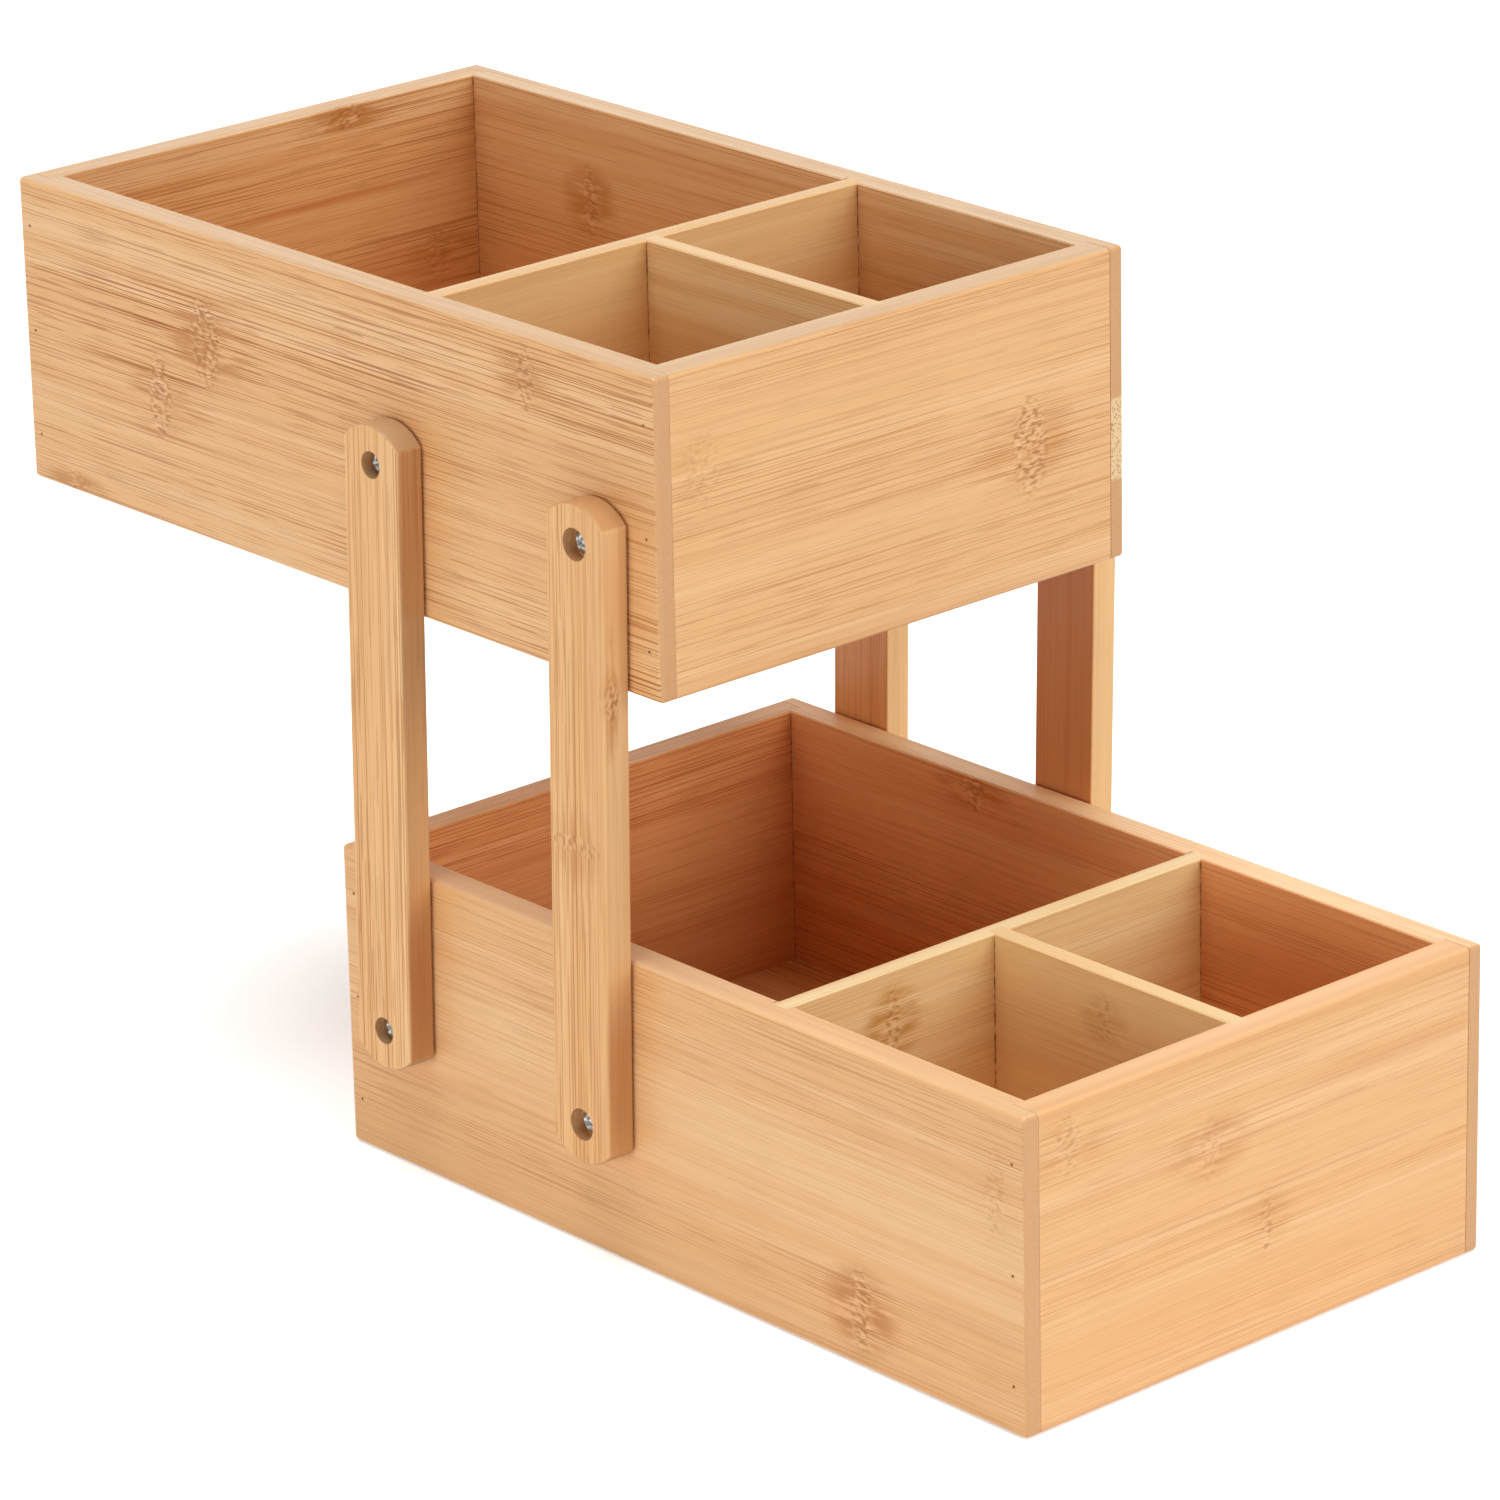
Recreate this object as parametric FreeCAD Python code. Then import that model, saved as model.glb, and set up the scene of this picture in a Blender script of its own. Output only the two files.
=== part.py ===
import FreeCAD, Part
import math
import os

# Two-tier bamboo vanity organizer: two alike open boxes, joined by four flat arms on screws.
# The upper box swings forward on the arms and comes down squarely on the lower one.
# Frame: +X right, +Y back, +Z up. The origin is on the table, midway between the two boxes.
# All sizes are in millimetres and degrees.

# Box
BOX_LENGTH = 300.0            # front to back, along Y
BOX_WIDTH = 186.0             # left to right, along X
BOX_HEIGHT = 98.0
SIDE_THICKNESS = 10.0         # long left and right boards
END_THICKNESS = 10.0          # short front and back boards
CORNER_LIP = 5.5              # part of a side's end that covers the end of a short board
EDGE_EASE = 1.5               # rounding of the box's outer edges
RIM_EASE = 0.4                # broken edge around the mouth of each compartment
JOINT_EASE = 0.25             # broken edge of a short board beside the lip of a side
BASE_THICKNESS = 5.0
BASE_RECESS = 8.0             # from the box's lower edge to the underside of its base
BASE_TONGUE = 4.0             # how far the base runs into the grooves of the boards
GROOVE_SPARE = 0.5            # room left at the bottom of a groove
DIVIDER_THICKNESS = 6.0
DIVIDER_HOUSING = 2.5         # how far a divider's end is let into its neighbour
SMALL_BAY_LENGTH = 96.0       # the two front compartments, front to back

# Corner brads
BRAD_DIAMETER = 1.0
BRAD_LENGTH = 16.0
BRAD_POINT = 1.5              # length of the tapered point
BRAD_SET = 0.4                # how far the head is driven below the face
BRAD_COUNT = 3                # in each corner
BRAD_MARGIN = 15.0            # from the box's lower and upper edge to the nearest brad

# Arms and pivots
ARM_WIDTH = 25.0
ARM_THICKNESS = 9.5
ARM_END_REACH = 12.3          # from a pivot to the rounded tip of its arm
ARM_END_RADIUS = 16.5
ARM_CORNER_ROUND = 2.0        # where the tip's arc meets a straight edge
ARM_EDGE_EASE = 0.8           # rounding of the arm's long edges
LOWER_PIVOT_INSET = 30.0      # from the lower box's back end to its rear pivot
UPPER_PIVOT_INSET = 25.0      # from the upper box's front end to its front pivot
PIVOT_SPACING = 92.0          # between the two pivots on one side of a box
FRONT_PIVOT_HEIGHT = 45.2     # above the lower edge of its box
REAR_PIVOT_HEIGHT = 48.0
CLOSED_GAP = 0.3              # between the boxes when the upper one is down
REST_LEAN = 1.45              # degrees that the arms lean forward from upright

# Pivot screws and washers
SCREW_DIAMETER = 4.0
SCREW_POINT = 2.0             # length of the tapered point
SCREW_BACKING = 2.5           # wood left in a side behind the screw's point
HEAD_DIAMETER = 7.5
HEAD_HEIGHT = 2.2
HEAD_RIM = 0.9                # straight edge of the pan head, below its dome
RECESS_SPAN = 4.2             # cross recess, across the head
RECESS_SLOT = 0.9             # width of one slot of the cross
RECESS_DEPTH = 1.5
FRONT_COUNTERBORE = 10.0      # diameter of the screw wells in the front arms
REAR_COUNTERBORE = 8.5
SEAT_WOOD = 5.0               # wood left in an arm under the screw head
WASHER_DIAMETER = 10.0
WASHER_THICKNESS = 0.6
RUNNING_CLEARANCE = 0.05      # between an arm and its screw, washer and screw head
BLUNT_TIP = 0.25              # diameter of a screw's or brad's tip, as a share of its shank

# Places that follow from the sizes
half_length = BOX_LENGTH / 2
half_width = BOX_WIDTH / 2
inner_half_length = half_length - END_THICKNESS
inner_half_width = half_width - SIDE_THICKNESS
floor_height = BASE_RECESS + BASE_THICKNESS
groove_depth = BASE_TONGUE + GROOVE_SPARE
cross_front = -inner_half_length + SMALL_BAY_LENGTH
cross_back = cross_front + DIVIDER_THICKNESS
brad_step = (BOX_HEIGHT - 2 * BRAD_MARGIN) / (BRAD_COUNT - 1)
arm_gap = WASHER_THICKNESS + RUNNING_CLEARANCE
screw_bite = SIDE_THICKNESS - SCREW_BACKING

# Linkage: closed, the upper box lies over the lower one, and the arms span the pivots' distance
lower_rear_pivot = half_length - LOWER_PIVOT_INSET
upper_front_pivot = -half_length + UPPER_PIVOT_INSET
lower_pivots = {"front": lower_rear_pivot - PIVOT_SPACING, "rear": lower_rear_pivot}
upper_pivots = {"front": upper_front_pivot, "rear": upper_front_pivot + PIVOT_SPACING}
closed_reach = lower_pivots["rear"] - upper_pivots["rear"]
arm_pitch = math.hypot(closed_reach, BOX_HEIGHT + CLOSED_GAP)
stagger = closed_reach - arm_pitch * math.sin(math.radians(REST_LEAN))
rise = arm_pitch * math.cos(math.radians(REST_LEAN))
lower_centre = FreeCAD.Vector(0, -stagger / 2, 0)
upper_centre = FreeCAD.Vector(0, stagger / 2, rise)

PIVOT_HEIGHTS = {"front": FRONT_PIVOT_HEIGHT, "rear": REAR_PIVOT_HEIGHT}
COUNTERBORES = {"front": FRONT_COUNTERBORE, "rear": REAR_COUNTERBORE}
SIDES = {"left": -1, "right": 1}
X_AXIS = FreeCAD.Vector(1, 0, 0)


def block(x0, x1, y0, y1, z0, z1):
    """Box between two corners, given in either order along each axis."""
    corner = FreeCAD.Vector(min(x0, x1), min(y0, y1), min(z0, z1))
    return Part.makeBox(abs(x1 - x0), abs(y1 - y0), abs(z1 - z0), corner)


def rod(diameter, x0, x1, y, z):
    """Cylinder along X from x0 to x1."""
    direction = FreeCAD.Vector(math.copysign(1, x1 - x0), 0, 0)
    return Part.makeCylinder(diameter / 2, abs(x1 - x0), FreeCAD.Vector(x0, y, z), direction)


def pointed_rod(diameter, point, x0, x1, y, z):
    """Cylinder along X that tapers to a blunt point at x1."""
    direction = FreeCAD.Vector(math.copysign(1, x1 - x0), 0, 0)
    shoulder = x1 - direction.x * point
    radius = diameter / 2
    tip = Part.makeCone(radius, radius * BLUNT_TIP, point, FreeCAD.Vector(shoulder, y, z), direction)
    return rod(diameter, x0, shoulder, y, z).fuse(tip).removeSplitter()


def brad_places():
    """The side, Y and Z of every corner brad, in the frame of its box."""
    places = []
    for side in SIDES.values():
        for end in (-1, 1):
            for row in range(BRAD_COUNT):
                y = end * (half_length - END_THICKNESS / 2)
                places.append((side, y, BRAD_MARGIN + row * brad_step))
    return places


def brad_holes():
    """Cutters for the brads of one box, from its faces to the brads' points."""
    holes = []
    for side, y, z in brad_places():
        bottom = side * (half_width - BRAD_SET - BRAD_LENGTH)
        holes.append(rod(BRAD_DIAMETER, side * half_width, bottom, y, z))
    return holes


def eased_outline():
    """The whole box as one block with its outer edges rounded."""
    outline = block(-half_width, half_width, -half_length, half_length, 0, BOX_HEIGHT)
    return outline.makeFillet(EDGE_EASE, outline.Edges)


def mouth_cutter(x0, x1, y0, y1):
    """Shallow funnel that breaks the edges around the mouth of one compartment."""
    outlines = []
    for grow, z in ((0, BOX_HEIGHT - RIM_EASE), (RIM_EASE, BOX_HEIGHT)):
        left, right, front, back = x0 - grow, x1 + grow, y0 - grow, y1 + grow
        places = ((left, front), (right, front), (right, back), (left, back), (left, front))
        outlines.append(Part.makePolygon([FreeCAD.Vector(x, y, z) for x, y in places]))
    return Part.makeLoft(outlines, True, True)


def compartment_mouths():
    """Cutters for the mouths of the three compartments of one box."""
    half = DIVIDER_THICKNESS / 2
    return [mouth_cutter(-inner_half_width, inner_half_width, cross_back, inner_half_length),
            mouth_cutter(-inner_half_width, -half, -inner_half_length, cross_front),
            mouth_cutter(half, inner_half_width, -inner_half_length, cross_front)]


def base_groove():
    """The space that the base and its grooves take up in the four boards."""
    reach_x = inner_half_width + groove_depth
    reach_y = inner_half_length + groove_depth
    return block(-reach_x, reach_x, -reach_y, reach_y, BASE_RECESS, floor_height)


def side_board(side, pivots):
    """Long board with end rebates, base groove, divider housing and blind screw holes."""
    outer = side * half_width
    inner = side * inner_half_width
    board = block(inner, outer, -half_length, half_length, 0, BOX_HEIGHT)
    cuts = [base_groove()]
    lip = side * (half_width - CORNER_LIP)
    for end in (-1, 1):
        cuts.append(block(inner, lip, end * inner_half_length, end * half_length, 0, BOX_HEIGHT))
    housing = inner + side * DIVIDER_HOUSING
    cuts.append(block(inner, housing, cross_front, cross_back, floor_height, BOX_HEIGHT))
    for place, y in pivots.items():
        cuts.append(rod(SCREW_DIAMETER, outer, outer - side * screw_bite, y, PIVOT_HEIGHTS[place]))
    return board.cut(cuts + brad_holes() + compartment_mouths()).common(eased_outline())


def on_corner_joint(edge, reach):
    """True for the edges that a short board's ends show on the outside of the box."""
    middle = edge.CenterOfMass
    at_end = edge.BoundBox.XLength < JOINT_EASE and abs(abs(middle.x) - reach) < JOINT_EASE
    skin = EDGE_EASE + JOINT_EASE
    outside = abs(middle.y) > half_length - skin or not skin < middle.z < BOX_HEIGHT - skin
    return at_end and outside


def end_board(end):
    """Short board between the lips of the sides; the front one also houses the short divider."""
    reach = half_width - CORNER_LIP
    inner = end * inner_half_length
    board = block(-reach, reach, inner, end * half_length, 0, BOX_HEIGHT)
    cuts = [base_groove()]
    if end < 0:
        half = DIVIDER_THICKNESS / 2
        cuts.append(block(-half, half, inner, inner - DIVIDER_HOUSING, floor_height, BOX_HEIGHT))
    board = board.cut(cuts + brad_holes() + compartment_mouths()).common(eased_outline())
    joints = [edge for edge in board.Edges if on_corner_joint(edge, reach)]
    return board.makeChamfer(JOINT_EASE, joints)


def base_board():
    """Thin base, held by its edges in the grooves of the four boards."""
    reach_x = inner_half_width + BASE_TONGUE
    reach_y = inner_half_length + BASE_TONGUE
    return block(-reach_x, reach_x, -reach_y, reach_y, BASE_RECESS, floor_height)


def cross_divider():
    """Divider from side to side, level with the rim."""
    reach = inner_half_width + DIVIDER_HOUSING
    board = block(-reach, reach, cross_front, cross_back, floor_height, BOX_HEIGHT)
    half = DIVIDER_THICKNESS / 2
    housing = block(-half, half, cross_front, cross_front + DIVIDER_HOUSING, floor_height, BOX_HEIGHT)
    return board.cut([housing] + compartment_mouths())


def short_divider():
    """Divider that parts the two front compartments."""
    half = DIVIDER_THICKNESS / 2
    front = -inner_half_length - DIVIDER_HOUSING
    board = block(-half, half, front, cross_front + DIVIDER_HOUSING, floor_height, BOX_HEIGHT)
    return board.cut(compartment_mouths())


def corner_brads():
    """The brads of one box, each driven through a side's lip into a short board."""
    brads = []
    for side, y, z in brad_places():
        head = side * (half_width - BRAD_SET)
        brads.append(pointed_rod(BRAD_DIAMETER, BRAD_POINT, head, head - side * BRAD_LENGTH, y, z))
    return Part.makeCompound(brads)


def pan_head():
    """Pan head with a cross recess: underside at the origin, top along -X."""
    rim = HEAD_DIAMETER / 2
    low = FreeCAD.Vector(-HEAD_RIM, rim, 0)
    top = FreeCAD.Vector(-HEAD_HEIGHT, 0, 0)
    dome = HEAD_HEIGHT - HEAD_RIM
    dome_radius = (rim ** 2 + dome ** 2) / (2 * dome)
    half_angle = math.asin(rim / dome_radius) / 2
    centre_x = -HEAD_HEIGHT + dome_radius
    crown = FreeCAD.Vector(centre_x - dome_radius * math.cos(half_angle),
                           dome_radius * math.sin(half_angle), 0)
    origin = FreeCAD.Vector(0, 0, 0)
    foot = FreeCAD.Vector(0, rim, 0)
    profile = Part.Wire([Part.makeLine(origin, foot), Part.makeLine(foot, low),
                         Part.Arc(low, crown, top).toShape(), Part.makeLine(top, origin)])
    head = Part.Face(profile).revolve(origin, X_AXIS, 360)
    half = RECESS_SLOT / 2
    span = RECESS_SPAN / 2
    slots = block(-HEAD_HEIGHT, 0, -half, half, -span, span)
    slots = slots.fuse(block(-HEAD_HEIGHT, 0, -span, span, -half, half))
    funnel = Part.makeCone(span, RECESS_SLOT / 2, RECESS_DEPTH, top, X_AXIS)
    return head.cut(slots.common(funnel))


def pivot_screw(side, y, z):
    """Pan-head screw on a box side, in the frame of its box."""
    face = side * half_width
    seat = half_width + arm_gap + SEAT_WOOD + RUNNING_CLEARANCE
    shank = pointed_rod(SCREW_DIAMETER, SCREW_POINT, side * seat, face - side * screw_bite, y, z)
    head = pan_head()
    if side > 0:
        head.rotate(FreeCAD.Vector(0, 0, 0), FreeCAD.Vector(0, 0, 1), 180)
    head.translate(FreeCAD.Vector(side * seat, y, z))
    return shank.fuse(head)


def pivot_washer(side, y, z):
    """Thin washer that keeps an arm off its box side."""
    face = side * half_width
    rim = face + side * WASHER_THICKNESS
    bore = SCREW_DIAMETER + 2 * RUNNING_CLEARANCE
    return rod(WASHER_DIAMETER, face, rim, y, z).cut(rod(bore, face, rim, y, z))


def arm_outline():
    """Closed outline of an arm, upright in the YZ plane, with its lower pivot at the origin."""
    half = ARM_WIDTH / 2
    shoulder = ARM_END_REACH - ARM_END_RADIUS + math.sqrt(ARM_END_RADIUS ** 2 - half ** 2)
    front_low = FreeCAD.Vector(0, -half, -shoulder)
    back_low = FreeCAD.Vector(0, half, -shoulder)
    front_high = FreeCAD.Vector(0, -half, arm_pitch + shoulder)
    back_high = FreeCAD.Vector(0, half, arm_pitch + shoulder)
    low_tip = FreeCAD.Vector(0, 0, -ARM_END_REACH)
    high_tip = FreeCAD.Vector(0, 0, arm_pitch + ARM_END_REACH)
    return Part.Wire([Part.makeLine(front_low, front_high),
                      Part.Arc(front_high, high_tip, back_high).toShape(),
                      Part.makeLine(back_high, back_low),
                      Part.Arc(back_low, low_tip, front_low).toShape()])


def arm(side, place):
    """One flat arm with its two screw wells, leaning as at rest."""
    inner = side * (half_width + arm_gap)
    outer = inner + side * ARM_THICKNESS
    outline = arm_outline()
    outline.translate(FreeCAD.Vector(inner, 0, 0))
    blank = Part.Face(outline).extrude(FreeCAD.Vector(side * ARM_THICKNESS, 0, 0))
    corners = [edge for edge in blank.Edges if edge.BoundBox.XLength > ARM_THICKNESS / 2]
    blank = blank.makeFillet(ARM_CORNER_ROUND, corners)
    rims = [edge for edge in blank.Edges if edge.BoundBox.XLength < ARM_THICKNESS / 2]
    blank = blank.makeFillet(ARM_EDGE_EASE, rims)
    bore = SCREW_DIAMETER + 2 * RUNNING_CLEARANCE
    cuts = []
    for z in (0, arm_pitch):
        cuts.append(rod(bore, inner, outer, 0, z))
        cuts.append(rod(COUNTERBORES[place], inner + side * SEAT_WOOD, outer, 0, z))
    piece = blank.cut(cuts)
    piece.rotate(FreeCAD.Vector(0, 0, 0), X_AXIS, REST_LEAN)
    piece.translate(lower_centre + FreeCAD.Vector(0, lower_pivots[place], PIVOT_HEIGHTS[place]))
    return piece


def box_pieces(pivots):
    """Every piece that belongs to one box, by its plain name."""
    places = [(side, y, PIVOT_HEIGHTS[place]) for side in SIDES.values() for place, y in pivots.items()]
    return {
        "left_side": side_board(SIDES["left"], pivots),
        "right_side": side_board(SIDES["right"], pivots),
        "front_panel": end_board(-1),
        "back_panel": end_board(1),
        "base_panel": base_board(),
        "cross_divider": cross_divider(),
        "short_divider": short_divider(),
        "corner_brads": corner_brads(),
        "pivot_screws": Part.makeCompound([pivot_screw(*place) for place in places]),
        "pivot_washers": Part.makeCompound([pivot_washer(*place) for place in places]),
    }


pieces = {}
for tier, pivots, centre in (("lower", lower_pivots, lower_centre), ("upper", upper_pivots, upper_centre)):
    for name, shape in box_pieces(pivots).items():
        shape.translate(centre)
        pieces[tier + "_" + name] = shape
for side_name, side in SIDES.items():
    for place in lower_pivots:
        pieces[side_name + "_" + place + "_arm"] = arm(side, place)

os.makedirs("parts", exist_ok=True)
for name, shape in pieces.items():
    shape.exportStep("parts/" + name + ".step")
    print(name, len(shape.Solids), "solids", round(shape.Volume, 1), "mm3")
print("stagger", round(stagger, 3), "rise", round(rise, 3), "arm pitch", round(arm_pitch, 3))
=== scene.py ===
import math
import bpy
from mathutils import Matrix, Vector


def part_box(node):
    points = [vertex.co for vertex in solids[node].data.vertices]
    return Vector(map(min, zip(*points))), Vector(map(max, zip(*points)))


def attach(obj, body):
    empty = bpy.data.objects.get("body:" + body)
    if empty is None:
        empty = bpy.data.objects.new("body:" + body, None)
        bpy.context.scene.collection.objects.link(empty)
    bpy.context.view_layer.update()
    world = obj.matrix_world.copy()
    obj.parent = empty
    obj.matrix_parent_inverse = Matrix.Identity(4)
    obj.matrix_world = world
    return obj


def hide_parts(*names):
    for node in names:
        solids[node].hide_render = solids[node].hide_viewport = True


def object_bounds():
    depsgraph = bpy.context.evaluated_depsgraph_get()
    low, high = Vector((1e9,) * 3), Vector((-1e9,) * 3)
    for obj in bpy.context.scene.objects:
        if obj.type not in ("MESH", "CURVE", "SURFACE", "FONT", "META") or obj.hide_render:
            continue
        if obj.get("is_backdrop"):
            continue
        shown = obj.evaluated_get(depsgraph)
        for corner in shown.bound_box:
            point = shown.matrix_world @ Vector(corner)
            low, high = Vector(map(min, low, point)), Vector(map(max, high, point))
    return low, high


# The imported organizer: two alike bamboo boxes and the four arms that carry the upper one.
# Its boards, arms and hardware stay where the solids are, and get their finish below.
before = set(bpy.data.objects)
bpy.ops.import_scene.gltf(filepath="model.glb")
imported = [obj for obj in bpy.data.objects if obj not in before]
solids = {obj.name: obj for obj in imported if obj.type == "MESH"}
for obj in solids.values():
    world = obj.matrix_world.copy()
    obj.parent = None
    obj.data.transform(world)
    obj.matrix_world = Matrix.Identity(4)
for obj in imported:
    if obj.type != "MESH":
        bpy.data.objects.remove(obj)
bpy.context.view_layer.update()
bpy.context.scene.view_settings.view_transform = "Standard"

# Long side boards: laminated bamboo, 10 mm, strips glued edge to edge with the grain front to back.
# Fine dark fibres run along each strip, and a strip shows a band of broken dashes where the cane
# had a joint (a knuckle). Sanded, and wiped with a satin clear finish.
MM = 0.001
STRIP_WIDTH = 0.0215
LAYER_THICKNESS = 0.005
STRIP_SHIFT = (0.0, 0.3, 0.24)
BAMBOO_PALE = (0.870, 0.540, 0.265, 1.0)
BAMBOO_GROUND = (0.815, 0.460, 0.200, 1.0)
BAMBOO_DEEP = (0.780, 0.420, 0.172, 1.0)
FIBRE_BROWN = (0.400, 0.112, 0.012, 1.0)
STREAK_BROWN = (0.640, 0.255, 0.085, 1.0)
KNUCKLE_BROWN = (0.570, 0.238, 0.062, 1.0)
STROKE_BROWN = (0.440, 0.165, 0.042, 1.0)
FLECK_PALE = (0.880, 0.580, 0.310, 1.0)
END_GRAIN = (0.655, 0.365, 0.174, 1.0)
END_PALE = (0.830, 0.590, 0.320, 1.0)
END_FIBRE = (0.330, 0.155, 0.070, 1.0)

# Patterns in the cane, in cycles per metre along, across and through a board
NOISE_MIDDLE, NOISE_SPAN = 0.5, (0.3, 0.7)
STREAKS = {"cycles": (1.2, 170.0, 110.0), "span": (0.54, 0.70), "detail": 1.0}
CROWDING = {"cycles": (2.0, 48.0, 48.0), "span": (0.36, 0.62), "amounts": (0.5, 1.0)}
LONG_FIBRES = {"cycles": (9.0, 2000.0, 2000.0), "span": (0.60, 0.67)}
SHORT_FIBRES = {"cycles": (40.0, 2400.0, 2400.0), "span": (0.60, 0.67), "amounts": (0.0, 0.7)}
BLOTCHES = {"cycles": (60.0, 330.0, 330.0), "span": (0.36, 0.62), "detail": 2.0}
SATIN = {"cycles": (30.0, 260.0, 260.0), "span": NOISE_SPAN, "amounts": (0.34, 0.44), "detail": 1.0}
TANGLE_CYCLES = (260.0, 260.0, 260.0)
TANGLE_REACH = 0.0014
TONE_CYCLES = (1.5, 110.0, 110.0)
STRIP_CONTRAST = 0.30
DEEP_TO_GROUND, GROUND_TO_PALE = (0.36, 0.60), (0.66, 0.95)
STROKE_CYCLES = (420.0, 1000.0, 1000.0)
DARK_STROKE, PALE_STROKE = (0.54, 0.68), (0.47, 0.33)
KNUCKLE_SLANT = math.radians(-10)
DOT_CYCLES = (60.0, 1250.0, 1250.0)
DOT_SPAN, DOT_AMOUNTS = (0.42, 0.26), (0.12, 0.75)
FIBRE_STRENGTH, DARK_STROKE_STRENGTH, PALE_STROKE_STRENGTH = 0.82, 0.80, 0.36
HALO_FIBRES = 0.5
FIBRE_DULLNESS = 0.10
FIBRE_RELIEF, STROKE_RELIEF = -0.8, 1.8
RELIEF_STRENGTH, RELIEF_DEPTH = 0.25, 0.0002
SATIN_SHINE = 0.35

# Depth of a mark below a face, and the spread of a knuckle beyond its strokes, in mm or in half lengths
SKIN = 3.5
HALO_LENGTHS = 5
STAIN_LENGTHS, STAIN_MARGIN = 2, 7

# Tones of the faces, as factors on the bamboo's own colour, and how square to a way a face has to be
PLAIN_TONE = (1.0, 1.0, 1.0, 1.0)
# Rim tones make the boards' top and bottom faces paler and pinker: a painted sheen
UPPER_RIM_SHEEN = (0.88, 1.00, 1.26, 1.0)
LOWER_RIM_SHEEN = (1.14, 1.32, 1.64, 1.0)
LOWER_LEFT_RIM_SHEEN = (1.00, 1.08, 1.28, 1.0)
# Inside tones darken the faces that look into a box: painted shade, deeper and redder in the lower box
UPPER_INSIDE_SHADE = (0.90, 0.88, 0.86, 1.0)
LOWER_INSIDE_SHADE = (0.99, 0.78, 0.68, 1.0)
STREAKS_INSIDE = 0.28
LINES_INSIDE = 0.7
LINES_ON_RIM = 0.4
END_FACING, RIM_FACING, INSIDE_FACING = (0.30, 0.75), (0.35, 0.95), (0.6, 0.95)
GRAIN_BACKWARD = Matrix(((0, 1, 0), (0, 0, 1), (1, 0, 0)))


def feed(tree, node, feeds):
    """Gives a node's sockets plain values, or links them to other nodes' sockets."""
    for socket, value in feeds.items():
        if isinstance(value, bpy.types.NodeSocket):
            tree.links.new(value, node.inputs[socket])
        else:
            node.inputs[socket].default_value = value


def wire(tree, kind, feeds, out=0, **settings):
    """Adds a node with its settings, feeds its sockets, and returns one of its outputs."""
    node = tree.nodes.new(kind)
    for key, value in settings.items():
        setattr(node, key, value)
    feed(tree, node, feeds)
    return node.outputs[out]


def maths(tree, operation, *values):
    """One step of arithmetic on one or two values."""
    return wire(tree, "ShaderNodeMath", dict(enumerate(values)), operation=operation)


def product(tree, *factors):
    """All the factors multiplied together."""
    result = factors[0]
    for factor in factors[1:]:
        result = maths(tree, "MULTIPLY", result, factor)
    return result


def vector_maths(tree, operation, *vectors, out="Vector"):
    """One step of arithmetic on vectors."""
    return wire(tree, "ShaderNodeVectorMath", dict(enumerate(vectors)), out, operation=operation)


def ramp(tree, value, low, high, to_low=0.0, to_high=1.0):
    """Eases a value from one range to another, and holds it at the ends."""
    feeds = {"Value": value, "From Min": low, "From Max": high, "To Min": to_low, "To Max": to_high}
    return wire(tree, "ShaderNodeMapRange", feeds, interpolation_type="SMOOTHSTEP")


def tint(tree, amount, colour, other, blend="MIX"):
    """Colour mixed towards the other one by an amount: 6 and 7 are a mix node's colour sockets."""
    feeds = {0: amount, 6: colour, 7: other}
    return wire(tree, "ShaderNodeMix", feeds, out=2, data_type="RGBA", blend_type=blend)


def stretched_noise(tree, place, cycles, detail=0.0, rough=0.5):
    """Noise with so many cycles per metre along, across and through a board."""
    scaled = vector_maths(tree, "MULTIPLY", place, cycles)
    feeds = {"Vector": scaled, "Scale": 1.0, "Detail": detail, "Roughness": rough}
    return wire(tree, "ShaderNodeTexNoise", feeds)


def pattern(tree, place, cycles, span, amounts=(0.0, 1.0), detail=0.0):
    """Marks made from noise: they fade in over a span of it, from one amount to another."""
    return ramp(tree, stretched_noise(tree, place, cycles, detail), *span, *amounts)


def node_group(name, kind, inputs, outputs):
    """A new group with named sockets: its tree, what it is given, and the node that takes its result."""
    tree = bpy.data.node_groups.new(name, kind)
    for in_out, sockets in (("INPUT", inputs), ("OUTPUT", outputs)):
        for label, socket in sockets.items():
            tree.interface.new_socket(label, in_out=in_out, socket_type="NodeSocket" + socket)
    return tree, tree.nodes.new("NodeGroupInput").outputs, tree.nodes.new("NodeGroupOutput")


def new_finish(name):
    """A new material, with its tree, its shader and its texture coordinates."""
    material = bpy.data.materials.new(name)
    material.use_nodes = True
    tree = material.node_tree
    return material, tree, tree.nodes["Principled BSDF"], tree.nodes.new("ShaderNodeTexCoord").outputs


def dress(node, material):
    """Gives a solid one finish all over."""
    solids[node].data.materials.clear()
    solids[node].data.materials.append(material)


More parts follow.
